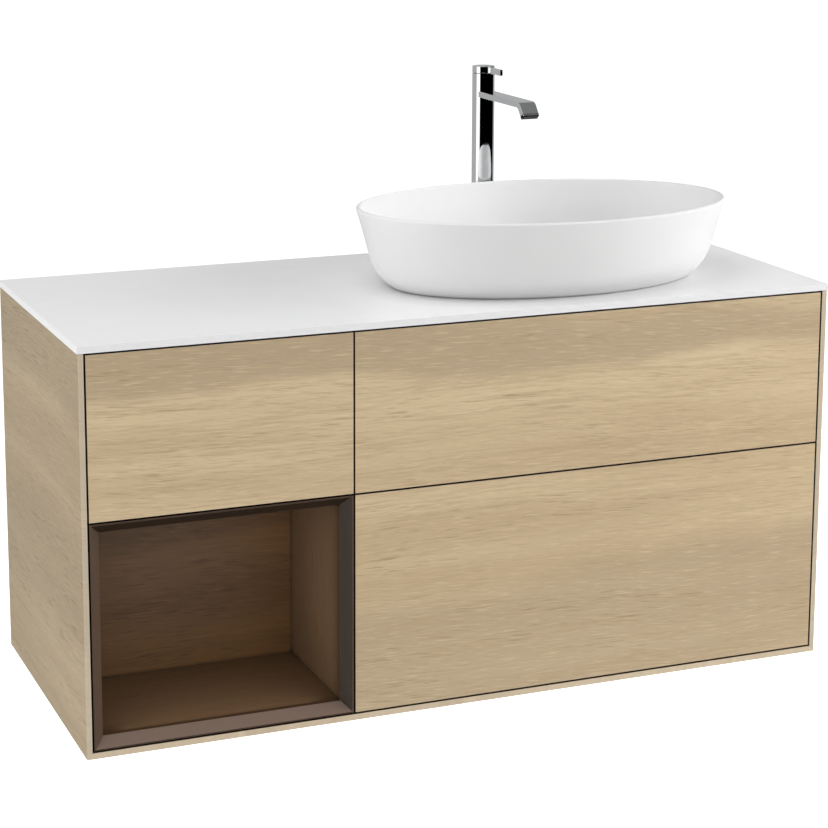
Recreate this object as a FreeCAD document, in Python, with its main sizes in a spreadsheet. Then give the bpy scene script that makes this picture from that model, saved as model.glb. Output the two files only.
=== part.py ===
import FreeCAD, Part
import os
import re
import Sketcher

# A wall-hung washbasin unit: an oval vessel basin and a tall single-lever tap on a thin white top plate,
# over an oak cabinet with three handleless drawers and one open niche.
# X runs to the right as seen from the front, the front faces -Y, and Z is up. The origin is at the bottom
# centre of the cabinet's rear plane, which lies on the wall. "Depth" is the distance from the wall, so a
# point at depth d has y = -d.

# ---------------------------------------------------------------- driving sizes, millimetres and degrees
SIZES = {
    # cabinet
    "plate_width": 1200,
    "plate_depth": 501,
    "plate_thickness": 10,
    "plate_overhang": 1.5,
    "cabinet_height": 593,
    "panel": 16,
    "side_edge": 8,
    "bottom_edge": 9,
    "reveal": 3,
    "front_thickness": 19,
    "push_gap": 3.5,
    "bay_split": 407,
    "row_split": 348,
    "back_panel_thickness": 8,
    "back_panel_setback": 12,
    "rail_width": 80,
    "fit_gap": 0.3,
    # niche
    "niche_wall": 16,
    "niche_lip": 2,
    "niche_depth": 231,
    "niche_back_thickness": 8,
    # hanging brackets and wall plates
    "bracket_width": 16,
    "bracket_length": 60,
    "bracket_height": 38,
    "bracket_drop": 5,
    "hook_thickness": 5,
    "wall_plate_thickness": 2.5,
    "wall_plate_width": 50,
    "wall_plate_height": 50,
    "wall_plate_drop": 4,
    "bracket_inset": 3,
    "hook_play": 0.7,
    "lip_thickness": 2,
    "screw_inset": 36,
    "screw_spacing": 32,
    "screw_hole_radius": 3.5,
    # drawers and runners
    "box_wall": 14,
    "box_bottom": 8,
    "box_lift": 14,
    "groove_depth": 6,
    "groove_height": 10,
    "upper_box_height": 180,
    "lower_box_height": 250,
    "box_rear_space": 60,
    "runner_thickness": 12.7,
    "runner_height": 45,
    "runner_wall": 1.2,
    "runner_play": 0.6,
    "runner_end_space": 5,
    "runner_lift": 60,
    "cutout_width": 200,
    "cutout_front_space": 80,
    "guard_wall": 10,
    # basin
    "basin_width": 610,
    "basin_depth": 410,
    "basin_height": 124,
    "basin_rim": 7.5,
    "basin_foot_inset": 55,
    "basin_floor_inset": 110,
    "basin_floor": 15,
    "seal_height": 1,
    "seal_width": 12,
    "seal_inset": 4,
    # waste
    "waste_radius": 20.9,
    "waste_wall": 2.9,
    "waste_length": 75,
    "waste_flange_radius": 32,
    "waste_flange": 3,
    "waste_hole_play": 1.6,
    "plate_hole_play": 4,
    "cover_radius": 29,
    "cover_lift": 5,
    "cover_edge": 1.5,
    "cover_shoulder": 4,
    "cover_crown": 4,
    "cover_stem_radius": 3,
    "nut_height": 12,
    "nut_wall": 12,
    "pipe_radius": 16,
    "pipe_wall": 1.5,
    "pipe_play": 0.2,
    "outlet_height": 470,
    "outlet_spigot": 30,
    "outlet_groove": 0.5,
    "trap_radius": 28,
    "trap_wall": 3,
    "trap_head": 22,
    "trap_clear": 5,
    "trap_socket": 18,
    "cup_depth": 98,
    "cup_overlap": 12,
    "dip_depth": 70,
    "union_length": 20,
    "union_lip": 4,
    "union_wall": 3.3,
    "rosette_radius": 37.5,
    "rosette_depth": 8,
    "service_width": 280,
    "service_bottom": 380,
    "service_top": 508,
    # tap
    "tap_wall_distance": 63,
    "tap_gap": 9,
    "tap_radius": 18.5,
    "tap_height": 302,
    "tap_wall": 3.3,
    "tap_seal": 1,
    "tap_hole_inset": 1.5,
    "seat_inset": 0.5,
    "shank_play": 0.2,
    "thread_play": 0.1,
    "cartridge_radius": 13.5,
    "cartridge_play": 0.1,
    "cartridge_height": 36,
    "cartridge_nut_height": 6,
    "cartridge_floor": 8,
    "cartridge_headroom": 2,
    "spindle_radius": 5,
    "spindle_play": 0.3,
    "spindle_depth": 10,
    "spindle_stand": 4,
    "shank_inset": 2.5,
    "shank_length": 45,
    "shank_collar": 11,
    "inlet_radius": 5,
    "inlet_depth": 12,
    "inlet_spacing": 14,
    "waterway_radius": 2.5,
    "tap_nut_wall": 11,
    "cap_gap": 0.5,
    "cap_height": 11,
    "cap_wall": 5.5,
    "cap_roof": 3.5,
    "blade_width": 5,
    "blade_height": 10.5,
    "blade_reach": 71,
    "blade_root": 8,
    "spout_width": 28,
    "spout_thickness": 9.5,
    "spout_top": 272.5,
    "spout_bend": 170,
    "spout_wall": 2.4,
    "nose_angle": 50,
    "nose_length": 26.5,
    "nose_thickness": 11,
    "aerator_depth": 4,
    "aerator_play": 0.1,
}

document = FreeCAD.newDocument("washbasin_unit")
sheet = document.addObject("Spreadsheet::Sheet", "sizes")
for row, (alias, number) in enumerate(SIZES.items(), start=1):
    sheet.set(f"A{row}", alias)
    sheet.set(f"B{row}", str(number))
    sheet.setAlias(f"B{row}", alias)
document.recompute()

NODES = {}


# ---------------------------------------------------------------- helpers
def bound(text):
    """An expression in plain size names, turned into references to the sheet's cells."""
    return re.sub(r"[a-z][a-z0-9_]*", lambda m: f"sizes.{m[0]}" if m[0] in SIZES else m[0], str(text))


def number_of(text):
    """The present value of an expression."""
    return float(sheet.evalExpression(bound(text)))


# Each direction has its origin plane and the way an outline's two numbers lie on it.
# Along y an outline is (x, z) and grows away from the wall; along z it is (x, depth); along x (depth, z).
PLANES = {"x": "YZ_Plane", "y": "XZ_Plane", "z": "XY_Plane"}


def on_plane(along, first, second):
    if along == "x":
        return f"-({first})", f"{second}"
    if along == "z":
        return f"{first}", f"-({second})"
    return f"{first}", f"{second}"


def rectangle(first, second):
    return [(first[0], second[0]), (first[1], second[0]), (first[1], second[1]), (first[0], second[1])]


def circle(first, second, radius):
    return {"centre": (first, second), "radius": radius}


def hexagon(first, second, radius):
    corners = range(0, 360, 60)
    return [(f"{first} + ({radius})*cos({turn})", f"{second} + ({radius})*sin({turn})") for turn in corners]


def sketch_in(body, along, start, outlines):
    """A sketch on the body's own origin plane, moved along its normal, with every point tied to the sheet."""
    plane = next(f for f in body.Origin.OriginFeatures if f.Role == PLANES[along])
    sketch = body.newObject("Sketcher::SketchObject", "outline")
    sketch.AttachmentSupport = [(plane, "")]
    sketch.MapMode = "FlatFace"
    sketch.setExpression("AttachmentOffset.Base.z", bound(start))

    def tie(kind, element, position, text):
        index = sketch.addConstraint(Sketcher.Constraint(kind, -1, 1, element, position, number_of(text)))
        sketch.setExpression(f"Constraints[{index}]", bound(text))

    for outline in outlines:
        first_edge = sketch.GeometryCount
        if isinstance(outline, dict):
            u, v = on_plane(along, *outline["centre"])
            centre = FreeCAD.Vector(number_of(u), number_of(v), 0)
            radius = number_of(outline["radius"])
            sketch.addGeometry(Part.Circle(centre, FreeCAD.Vector(0, 0, 1), radius), False)
            tie("DistanceX", first_edge, 3, u)
            tie("DistanceY", first_edge, 3, v)
            index = sketch.addConstraint(Sketcher.Constraint("Radius", first_edge, radius))
            sketch.setExpression(f"Constraints[{index}]", bound(outline["radius"]))
            continue
        corners = [on_plane(along, *corner) for corner in outline]
        points = [FreeCAD.Vector(number_of(u), number_of(v), 0) for u, v in corners]
        count = len(points)
        for k in range(count):
            sketch.addGeometry(Part.LineSegment(points[k], points[(k + 1) % count]), False)
        for k in range(count):
            joint = Sketcher.Constraint("Coincident", first_edge + k, 2, first_edge + (k + 1) % count, 1)
            sketch.addConstraint(joint)
        for k, (u, v) in enumerate(corners):
            tie("DistanceX", first_edge + k, 1, u)
            tie("DistanceY", first_edge + k, 1, v)
    return sketch


def add(body, along, start, length, outlines):
    """Pad the outlines along the plane's normal."""
    pad = body.newObject("PartDesign::Pad", "pad")
    pad.Profile = (sketch_in(body, along, start, outlines), [""])
    pad.setExpression("Length", bound(length))
    return body


def cut(body, along, start, length, outlines):
    """Pocket the outlines along the plane's normal."""
    sketch = sketch_in(body, along, start, outlines)
    pocket = body.newObject("PartDesign::Pocket", "pocket")
    pocket.Profile = (sketch, [""])
    pocket.Reversed = True
    pocket.setExpression("Length", bound(length))
    return body


def new_body(label, keep=True):
    body = document.addObject("PartDesign::Body", label)
    body.Label = label
    if keep:
        NODES[label] = body
    return body


def prism(label, along, start, length, outlines, keep=True):
    return add(new_body(label, keep), along, start, length, outlines)


def board(label, x, depth, z, keep=True):
    """A straight-edged board between pairs of x, depth and height."""
    return prism(label, "z", z[0], f"({z[1]}) - ({z[0]})", [rectangle(x, depth)], keep)


def cut_box(body, x, depth, z):
    return cut(body, "z", z[0], f"({z[1]}) - ({z[0]})", [rectangle(x, depth)])


def turned(label, x, depth, z, profile, keep=True):
    """A round piece: a profile of (radius, height) turned about a vertical axis."""
    body = new_body(label, keep)
    sketch = sketch_in(body, "y", "0", [profile])
    turn = body.newObject("PartDesign::Revolution", "turn")
    turn.Profile = (sketch, [""])
    turn.ReferenceAxis = (sketch, ["V_Axis"])
    turn.Angle = 360
    body.setExpression("Placement.Base.x", bound(x))
    body.setExpression("Placement.Base.y", bound(f"-({depth})"))
    body.setExpression("Placement.Base.z", bound(z))
    return body


def group(label, members):
    """Identical pieces that share one node, as separate solids."""
    compound = document.addObject("Part::Compound", label)
    compound.Label = label
    compound.Links = members
    NODES[label] = compound
    return compound


# ---------------------------------------------------------------- planes that several pieces share
half = "(plate_width/2 - plate_overhang)"
face = "(plate_depth - plate_overhang)"
shoulder = f"({face} - front_thickness - push_gap)"
split_x = f"(bay_split - {half})"
plate_top = "(cabinet_height + plate_thickness)"
basin_x = f"(({split_x} + {half})/2)"
basin_d = "(tap_wall_distance + tap_radius + tap_gap + basin_depth/2)"
tap_d = "tap_wall_distance"
back_face = "(back_panel_setback + back_panel_thickness)"
rail_face = f"({back_face} + panel)"
rail_bottom = "(cabinet_height - rail_width)"

FRONT_X = {
    "left": (f"-{half} + side_edge + reveal", f"{split_x} - reveal/2"),
    "right": (f"{split_x} + reveal/2", f"{half} - side_edge - reveal"),
}
FRONT_Z = {
    "upper": ("row_split + reveal/2", "cabinet_height - reveal"),
    "lower": ("bottom_edge + reveal", "row_split - reveal/2"),
}
BAY_X = {
    "left": (f"-{half} + panel", f"{split_x} - panel/2"),
    "right": (f"{split_x} + panel/2", f"{half} - panel"),
}
BOX_HEIGHT = {"upper": "upper_box_height", "lower": "lower_box_height"}


# ---------------------------------------------------------------- carcass
def carcass():
    for side, sign in (("left", "-"), ("right", "")):
        outer = f"{sign}{half}"
        inner = f"{sign}({half} - panel)"
        section = [(outer, "0"), (outer, "cabinet_height"), (inner, "cabinet_height"), (inner, "panel")]
        body = prism(f"side_panel_{side}", "y", "0", face, [section])
        rebate_x = (f"{sign}({half} - side_edge)", f"{sign}({half} - panel - 1)")
        rebate = rectangle(rebate_x, ("-1", "cabinet_height + 1"))
        cut(body, "y", shoulder, "front_thickness + push_gap + 1", [rebate])

    section = [(f"-{half}", "0"), (half, "0"), (f"{half} - panel", "panel"), (f"-({half} - panel)", "panel")]
    body = prism("bottom_panel", "y", "0", face, [section])
    cut(body, "y", shoulder, "front_thickness + push_gap + 1",
        [rectangle((f"-{half} - 1", f"{half} + 1"), ("bottom_edge", "panel + 1"))])

    # The divider is notched for the two rails that run through from side to side.
    front_rail = (f"{shoulder} - rail_width", shoulder)
    outline = [
        (back_face, "panel"), (shoulder, "panel"), (shoulder, "cabinet_height - panel"),
        (front_rail[0], "cabinet_height - panel"), (front_rail[0], "cabinet_height"),
        (rail_face, "cabinet_height"), (rail_face, rail_bottom), (back_face, rail_bottom),
    ]
    prism("divider_panel", "x", f"{split_x} - panel/2", "panel", [outline])

    inside = (f"-({half} - panel)", f"{half} - panel")
    body = board("back_panel", inside, ("back_panel_setback", back_face), ("panel", "cabinet_height"))
    service_x = (f"{basin_x} - service_width/2", f"{basin_x} + service_width/2")
    cut(body, "y", "back_panel_setback - 1", "back_panel_thickness + 2",
        [rectangle(service_x, ("service_bottom", "service_top"))])
    rail = board("hanging_rail", inside, (back_face, rail_face), (rail_bottom, "cabinet_height"))
    hook_z = ("cabinet_height - bracket_drop - hook_thickness*4",
              "cabinet_height - bracket_drop - hook_thickness/2")
    for sign in ("-", ""):
        window_x = (f"{sign}({half} - panel - bracket_width - 2)", f"{sign}({half} - panel - 1)")
        cut(body, "y", "back_panel_setback - 1", "back_panel_thickness + 2", [rectangle(window_x, hook_z)])
        cut(rail, "y", f"{back_face} - 1", "panel + 2", [rectangle(window_x, hook_z)])
    board("front_rail", inside, front_rail, ("cabinet_height - panel", "cabinet_height"))

    plate = board("worktop_plate", ("-plate_width/2", "plate_width/2"), ("0", "plate_depth"),
                  ("cabinet_height", plate_top))
    holes = [circle(basin_x, basin_d, "waste_radius + plate_hole_play"),
             circle(basin_x, tap_d, "tap_radius - tap_hole_inset")]
    cut(plate, "z", "cabinet_height - 1", "plate_thickness + 2", holes)


def hangers():
    """A bracket with a hook in each top corner, hung on a plate that is screwed to the wall."""
    brackets = []
    plates = []
    hook_top = "(cabinet_height - bracket_drop - hook_thickness)"
    tongue = "(wall_plate_thickness + hook_play)"
    for sign in ("-", ""):
        def across(near, far):
            return (f"{sign}({half} - panel - {near})", f"{sign}({half} - panel - {far})")

        top = "cabinet_height - bracket_drop"
        body = board(f"bracket{sign}", across("0", "bracket_width"),
                     (rail_face, f"{rail_face} + bracket_length"), (f"{top} - bracket_height", top),
                     keep=False)
        arm = [
            (rail_face, hook_top), (tongue, hook_top), (tongue, f"{hook_top} - hook_thickness*3"),
            (f"{tongue} + hook_thickness/2", f"{hook_top} - hook_thickness*3"),
            (f"{tongue} + hook_thickness/2", f"{hook_top} - hook_thickness"),
            (rail_face, f"{hook_top} - hook_thickness"),
        ]
        near, far = across("bracket_inset", "(bracket_width - bracket_inset)")
        add(body, "x", near if sign else far, "bracket_width - 2*bracket_inset", [arm])
        brackets.append(body)

        plate_top_z = "(cabinet_height - wall_plate_drop)"
        plate = board(f"plate{sign}", across("1", "(wall_plate_width + 1)"),
                      ("0", "wall_plate_thickness"), (f"{plate_top_z} - wall_plate_height", plate_top_z),
                      keep=False)
        lip_base = f"({hook_top} - hook_thickness*4)"
        lip_front = f"({tongue} + hook_thickness + hook_play)"
        lip = [
            ("wall_plate_thickness", lip_base), (lip_front, lip_base),
            (lip_front, f"{hook_top} - hook_thickness*1.5"),
            (f"{lip_front} - lip_thickness", f"{hook_top} - hook_thickness*1.5"),
            (f"{lip_front} - lip_thickness", f"{lip_base} + lip_thickness"),
            ("wall_plate_thickness", f"{lip_base} + lip_thickness"),
        ]
        near, far = across("1", "(bracket_width + 1)")
        add(plate, "x", near if sign else far, "bracket_width", [lip])
        hole_x = f"{sign}({half} - panel - screw_inset)"
        middle = f"({plate_top_z} - wall_plate_height/2)"
        holes = [circle(hole_x, f"{middle} - screw_spacing/2", "screw_hole_radius"),
                 circle(hole_x, f"{middle} + screw_spacing/2", "screw_hole_radius")]
        cut(plate, "y", "-1", "wall_plate_thickness + 2", holes)
        plates.append(plate)
    group("hanging_brackets", brackets)
    group("wall_plates", plates)


# ---------------------------------------------------------------- open niche
def niche():
    """Four boards mitred at the corners, with a deep bevel round the mouth, and a back board."""
    x = FRONT_X["left"]
    z = FRONT_Z["lower"]
    wall = "niche_wall"
    rear = f"({face} - niche_depth)"
    outer = rectangle(x, z)
    inner = rectangle((f"{x[0]} + {wall}", f"{x[1]} - {wall}"), (f"{z[0]} + {wall}", f"{z[1]} - {wall}"))
    room_x = (f"{BAY_X['left'][0]} + fit_gap", f"{BAY_X['left'][1]} - fit_gap")
    room_z = ("panel + fit_gap", z[1])
    for k, side in enumerate(("bottom", "right", "top", "left")):
        m = (k + 1) % 4
        body = prism(f"niche_{side}", "y", rear, "niche_depth", [[outer[k], outer[m], inner[m], inner[k]]])
        document.recompute()
        mouth = number_of(face)
        ends = [FreeCAD.Vector(number_of(p[0]), -mouth, number_of(p[1])) for p in (inner[k], inner[m])]
        blank = body.Tip
        bevel = body.newObject("PartDesign::Chamfer", "bevel")
        bevel.Base = (blank, [edge_between(blank.Shape, *ends)])
        bevel.setExpression("Size", bound("niche_wall - niche_lip"))
        # Behind the cabinet's shoulder the boards are relieved to fit between the carcass panels.
        surround = rectangle((f"{x[0]} - 5", f"{x[1]} + 5"), (f"{z[0]} - 5", f"{z[1]} + 5"))
        relief = [surround, rectangle(room_x, room_z)]
        cut(body, "y", f"{rear} - 1", f"{shoulder} - {rear} + 1 + fit_gap", relief)
    board("niche_back", room_x, (f"{rear} - niche_back_thickness", rear), room_z)


def edge_between(shape, start, end):
    """The name of the edge that joins two points."""
    for index, edge in enumerate(shape.Edges, start=1):
        points = [vertex.Point for vertex in edge.Vertexes]
        if len(points) == 2 and sorted((p.distanceToPoint(start) < 0.01, p.distanceToPoint(end) < 0.01)
                                       for p in points) == [(False, True), (True, False)]:
            return f"Edge{index}"
    raise RuntimeError("no edge between the two points")


# ---------------------------------------------------------------- drawers
def channel(label, root, sign, start, end, half_height, middle_z, depth, web_at_root):
    """A folded runner member: a web with two lips, all of the runner's wall thickness."""
    def at(offset):
        return f"{root} {sign} ({offset})"

    w = "runner_wall"
    low, high = f"{middle_z} - ({half_height})", f"{middle_z} + ({half_height})"
    if web_at_root:
        web, tips, inside = at(start), at(end), at(f"{start} + {w}")
    else:
        web, tips, inside = at(end), at(start), at(f"{end} - {w}")
    outline = [
        (web, low), (tips, low), (tips, f"{low} + {w}"), (inside, f"{low} + {w}"),
        (inside, f"{high} - {w}"), (tips, f"{high} - {w}"), (tips, high), (web, high),
    ]
    return prism(label, "y", depth[0], f"({depth[1]}) - ({depth[0]})", [outline], keep=False)


def runners(name, row, bay, cabinet_members):
    """Three nested members on each side: one on the cabinet, one in the middle and one on the drawer."""
    step = "(runner_wall + runner_play)"
    z = f"({FRONT_Z[row][0]} + runner_lift)"
    front_end = f"({shoulder} - runner_end_space/2)"
    rear_end = "(box_rear_space + runner_end_space)"
    whole = (rear_end, front_end)
    inset = (f"{rear_end} + runner_end_space", f"{front_end} - runner_end_space")
    middle = []
    moving = []
    for side, sign in ((0, "+"), (1, "-")):
        root = BAY_X[bay][side]
        cabinet_members.append(channel(
            f"{name}_outer_{side}", root, sign, "0", f"runner_thickness - 2*{step}",
            "runner_height/2", z, whole, True))
        middle.append(channel(
            f"{name}_middle_{side}", root, sign, step, f"runner_thickness - {step}",
            f"runner_height/2 - {step}", z, inset, True))
        moving.append(channel(
            f"{name}_inner_{side}", root, sign, f"2*{step}", "runner_thickness",
            f"runner_height/2 - 2*{step}", z, whole, False))
    group(f"{name}_middle_rails", middle)
    group(f"{name}_drawer_rails", moving)


def drawer(row, bay, cabinet_members, cutout=False):
    name = f"{row}_{bay}"
    z = FRONT_Z[row]
    board(f"{name}_front", FRONT_X[bay], (f"{face} - front_thickness", face), z)

    x = (f"{BAY_X[bay][0]} + runner_thickness", f"{BAY_X[bay][1]} - runner_thickness")
    depth = ("box_rear_space", f"{face} - front_thickness")
    low = f"({z[0]} + box_lift)"
    high = f"({low} + {BOX_HEIGHT[row]})"
    groove_z = (f"{low} + groove_height", f"{low} + groove_height + box_bottom")
    left = board(f"{name}_side_left", (x[0], f"{x[0]} + box_wall"), depth, (low, high))
    right = board(f"{name}_side_right", (f"{x[1]} - box_wall", x[1]), depth, (low, high))
    groove_d = (f"{depth[0]} - 1", f"{depth[1]} + 1")
    cut_box(left, (f"{x[0]} + box_wall - groove_depth", f"{x[0]} + box_wall + 1"), groove_d, groove_z)
    cut_box(right, (f"{x[1]} - box_wall - 1", f"{x[1]} - box_wall + groove_depth"), groove_d, groove_z)

    bottom_x = (f"{x[0]} + box_wall - groove_depth", f"{x[1]} - box_wall + groove_depth")
    bottom = board(f"{name}_bottom", bottom_x, depth, groove_z)
    back = board(f"{name}_back", (f"{x[0]} + box_wall", f"{x[1]} - box_wall"),
                 (depth[0], f"{depth[0]} + box_wall"), (groove_z[1], high))
    if cutout:
        gap_x = (f"{basin_x} - cutout_width/2", f"{basin_x} + cutout_width/2")
        gap_d = (f"{depth[0]} - 1", f"{basin_d} + cutout_front_space")
        gap_z = (f"{low} - 1", f"{high} + 1")
        cut_box(bottom, gap_x, gap_d, gap_z)
        cut_box(back, gap_x, gap_d, gap_z)
        inside_x = (f"{gap_x[0]} + guard_wall", f"{gap_x[1]} - guard_wall")
        outline = [
            (gap_x[0], depth[0]), (gap_x[0], gap_d[1]), (gap_x[1], gap_d[1]), (gap_x[1], depth[0]),
            (inside_x[1], depth[0]), (inside_x[1], f"{gap_d[1]} - guard_wall"),
            (inside_x[0], f"{gap_d[1]} - guard_wall"), (inside_x[0], depth[0]),
        ]
        prism(f"{name}_siphon_guard", "z", groove_z[0], f"{high} - ({groove_z[0]})", [outline])
    runners(name, row, bay, cabinet_members)


# ---------------------------------------------------------------- basin
def bezier(t, *points):
    """A cubic curve's value from its four control values."""
    a, b, c, d = points
    return (1 - t)**3 * a + 3 * (1 - t)**2 * t * b + 3 * (1 - t) * t**2 * c + t**3 * d


def oval(x_radius, y_radius, z):
    ring = document.addObject("Part::Ellipse", "oval")
    ring.setExpression("MajorRadius", bound(x_radius))
    ring.setExpression("MinorRadius", bound(y_radius))
    ring.setExpression("Placement.Base.x", bound(basin_x))
    ring.setExpression("Placement.Base.y", bound(f"-{basin_d}"))
    ring.setExpression("Placement.Base.z", bound(z))
    return ring


def oval_block(name, sections):
    """A solid through level ovals, each (inset from the rim's outline, height above the plate)."""
    loft = document.addObject("Part::Loft", name)
    loft.Sections = [
        oval(f"basin_width/2 - ({inset})", f"basin_depth/2 - ({inset})", f"{plate_top} + {height}")
        for inset, height in sections]
    loft.Solid = True
    loft.Ruled = False
    return loft


def cut_from(label, base, tool):
    piece = document.addObject("Part::Cut", label)
    piece.Label = label
    piece.Base = base
    piece.Tool = tool
    return piece


def basin():
    steps = [k / 6 for k in range(7)]
    outer = [(f"basin_foot_inset*{bezier(t, 0, 0.46, 0.36, 1):.4f}",
              f"seal_height + basin_height*{bezier(t, 1, 0.27, 0.22, 0):.4f}") for t in steps]
    inner = [(f"basin_rim + (basin_floor_inset - basin_rim)*{bezier(t, 0, 0.25, 0.28, 1):.4f}",
              f"seal_height + basin_floor + (basin_height - basin_floor)*{bezier(t, 1, 0.23, 0.02, 0):.4f}")
             for t in steps]
    shell = cut_from("basin_shell", oval_block("basin_outside", outer), oval_block("basin_inside", inner))
    drain = document.addObject("Part::Cylinder", "basin_drain")
    drain.setExpression("Radius", bound("waste_radius + waste_hole_play"))
    drain.setExpression("Height", bound("basin_floor + seal_height + 2"))
    drain.setExpression("Placement.Base.x", bound(basin_x))
    drain.setExpression("Placement.Base.y", bound(f"-{basin_d}"))
    drain.setExpression("Placement.Base.z", bound(plate_top))
    NODES["basin"] = cut_from("basin", shell, drain)

    edge = "basin_foot_inset + seal_inset"
    seal_outer = oval_block("seal_outside", [(edge, "0"), (edge, "seal_height")])
    inner_edge = f"{edge} + seal_width"
    seal_inner = oval_block("seal_inside", [(inner_edge, "0"), (inner_edge, "seal_height")])
    NODES["basin_seal"] = cut_from("basin_seal", seal_outer, seal_inner)


# ---------------------------------------------------------------- waste and trap
def union_nut():
    """A union nut: a sleeve with a lip that closes on the pipe, its lip at the bottom."""
    bore = "waste_radius + fit_gap"
    return [
        ("pipe_radius + pipe_play", "0"), (f"{bore} + union_wall", "0"),
        (f"{bore} + union_wall", "union_length"), (bore, "union_length"), (bore, "union_lip"),
        ("pipe_radius + pipe_play", "union_lip"),
    ]


def waste():
    floor = f"({plate_top} + seal_height + basin_floor)"
    bore = "(waste_radius - waste_wall)"
    turned("waste_body", basin_x, basin_d, floor, [
        (bore, "-waste_length"), ("waste_radius", "-waste_length"), ("waste_radius", "0"),
        ("waste_flange_radius", "0"), ("waste_flange_radius", "waste_flange"), (bore, "waste_flange"),
    ])
    dome = "waste_flange + cover_lift"
    turned("waste_cover", basin_x, basin_d, floor, [
        ("0", "-waste_length/2"), ("cover_stem_radius", "-waste_length/2"), ("cover_stem_radius", dome),
        ("cover_radius", dome), ("cover_radius", f"{dome} + cover_edge"),
        ("cover_radius - cover_shoulder", f"{dome} + 2*cover_edge"), ("0", f"{dome} + cover_crown"),
    ])
    prism("waste_nut", "z", "cabinet_height - nut_height", "nut_height",
          [hexagon(basin_x, basin_d, "waste_radius + nut_wall"),
           circle(basin_x, basin_d, "waste_radius + thread_play")])

    waste_end = f"({floor} - waste_length)"
    head_top = "(outlet_height + trap_head + trap_socket)"
    dip_end = "(outlet_height - dip_depth)"
    prism("tailpipe", "z", dip_end, f"{waste_end} + union_length - {dip_end}",
          [circle(basin_x, basin_d, "pipe_radius"), circle(basin_x, basin_d, "pipe_radius - pipe_wall")])

    inside = "(trap_radius - trap_wall)"
    socket = "(pipe_radius + pipe_play)"
    # The skirt reaches far enough down for the cup's edge to stay clear of the side outlet's nut.
    skirt = "(waste_radius + fit_gap + union_wall + trap_clear + cup_overlap)"
    trap = turned("trap_body", basin_x, basin_d, "outlet_height", [
        (inside, f"-{skirt}"), ("trap_radius", f"-{skirt}"), ("trap_radius", "trap_head"),
        ("waste_radius", "trap_head"), ("waste_radius", "trap_head + trap_socket"),
        (socket, "trap_head + trap_socket"), (socket, "trap_head - trap_wall"),
        (inside, "trap_head - trap_wall"),
    ])
    # The side outlet faces the wall: its sleeve starts inside the body's wall, clear of the dip pipe.
    sleeve_end = "(trap_radius + trap_socket)"
    add(trap, "y", f"-{sleeve_end}", f"{sleeve_end} - {socket} - 2", [circle("0", "0", "waste_radius")])
    cut(trap, "y", f"-{sleeve_end} - 1", f"{sleeve_end} + 1 - {socket} - 1", [circle("0", "0", socket)])

    cup_top = f"(cup_overlap - {skirt})"
    cup_inside = "(trap_radius + pipe_play)"
    turned("trap_cup", basin_x, basin_d, "outlet_height", [
        ("0", "-cup_depth"), (f"{cup_inside} + trap_wall", "-cup_depth"),
        (f"{cup_inside} + trap_wall", cup_top),
        (cup_inside, cup_top), (cup_inside, "-cup_depth + trap_wall"), ("0", "-cup_depth + trap_wall"),
    ])
    nuts = [
        turned("union_waste", basin_x, basin_d, f"{waste_end} - union_length + 2", union_nut(), keep=False),
        turned("union_inlet", basin_x, basin_d, f"{head_top} + union_lip", union_nut(), keep=False),
        turned("union_outlet", basin_x, f"{basin_d} - {sleeve_end} - union_lip", "outlet_height",
               union_nut(), keep=False),
    ]
    nuts[1].Placement.Rotation = FreeCAD.Rotation(FreeCAD.Vector(1, 0, 0), 180)
    nuts[2].Placement.Rotation = FreeCAD.Rotation(FreeCAD.Vector(1, 0, 0), 90)
    group("trap_union_nuts", nuts)

    pipe_start = f"({basin_d} - trap_radius)"
    rings = [circle(basin_x, "outlet_height", "pipe_radius"),
             circle(basin_x, "outlet_height", "pipe_radius - pipe_wall")]
    pipe = prism("outlet_pipe", "y", "-outlet_spigot", f"{pipe_start} + outlet_spigot", rings)
    # A shallow groove marks where the spigot enters the wall.
    groove = [circle(basin_x, "outlet_height", "pipe_radius + 1"),
              circle(basin_x, "outlet_height", "pipe_radius - outlet_groove")]
    cut(pipe, "y", "-1", "2", groove)
    prism("wall_rosette", "y", "0", "rosette_depth",
          [circle(basin_x, "outlet_height", "rosette_radius"),
           circle(basin_x, "outlet_height", "pipe_radius + pipe_play")])


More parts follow.
